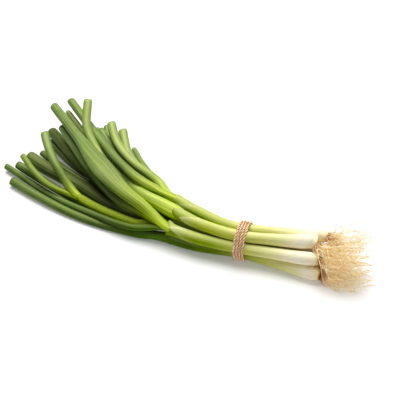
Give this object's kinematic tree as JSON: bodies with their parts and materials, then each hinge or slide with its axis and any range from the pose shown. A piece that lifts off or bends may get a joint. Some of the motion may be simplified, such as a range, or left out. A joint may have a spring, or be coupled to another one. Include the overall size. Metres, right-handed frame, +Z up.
{
  "type": "spring onion bunch",
  "caption": "Bunch of spring onions tied round the stems with jute twine, lying on its side: white bulbs with root tufts at one end, green hollow leaves fanned out at the other.",
  "frame": {"origin": "on the surface that the bunch lies on, under the middle of the twine tie, on the twine's pressed-flat underside", "axes": "+X along the bunch towards the bulbs and roots, +Y to the side the leaves fan out to, +Z up"},
  "size_m": [0.4259, 0.1995, 0.066],
  "materials": {
    "shank": "waxy onion skin, warm white at the bulb and turning pale yellow green up the stem, soft satin sheen, fine lengthwise veins",
    "leaf": "onion leaf, mid green under a thin grey-green bloom that dulls its gloss, fine lengthwise veins, paler at the cut rim",
    "root": "fine dry onion roots, cream with tan tips, matt",
    "twine": "two-ply jute twine, tan with dark gaps between the plies, hairy and matt"
  },
  "bodies": {
    "root": {"onion_1_leaf_a": "leaf", "onion_1_leaf_b": "leaf", "onion_1_leaf_c": "leaf", "onion_1_leaf_d": "leaf", "onion_1_roots": "root", "onion_1_shank": "shank", "onion_2_leaf_a": "leaf", "onion_2_leaf_b": "leaf", "onion_2_leaf_c": "leaf", "onion_2_roots": "root", "onion_2_shank": "shank", "onion_3_leaf_a": "leaf", "onion_3_leaf_b": "leaf", "onion_3_leaf_c": "leaf", "onion_3_roots": "root", "onion_3_shank": "shank", "onion_4_leaf_a": "leaf", "onion_4_leaf_b": "leaf", "onion_4_roots": "root", "onion_4_shank": "shank", "onion_5_leaf_a": "leaf", "onion_5_leaf_b": "leaf", "onion_5_leaf_c": "leaf", "onion_5_roots": "root", "onion_5_shank": "shank", "onion_5_young_stem": "shank", "onion_6_leaf_a": "leaf", "onion_6_leaf_b": "leaf", "onion_6_leaf_c": "leaf", "onion_6_roots": "root", "onion_6_shank": "shank", "onion_7_leaf_a": "leaf", "onion_7_leaf_b": "leaf", "onion_7_leaf_c": "leaf", "onion_7_roots": "root", "onion_7_shank": "shank", "twine_knot": "twine", "twine_wraps": "twine"}
  },
  "joints": []
}
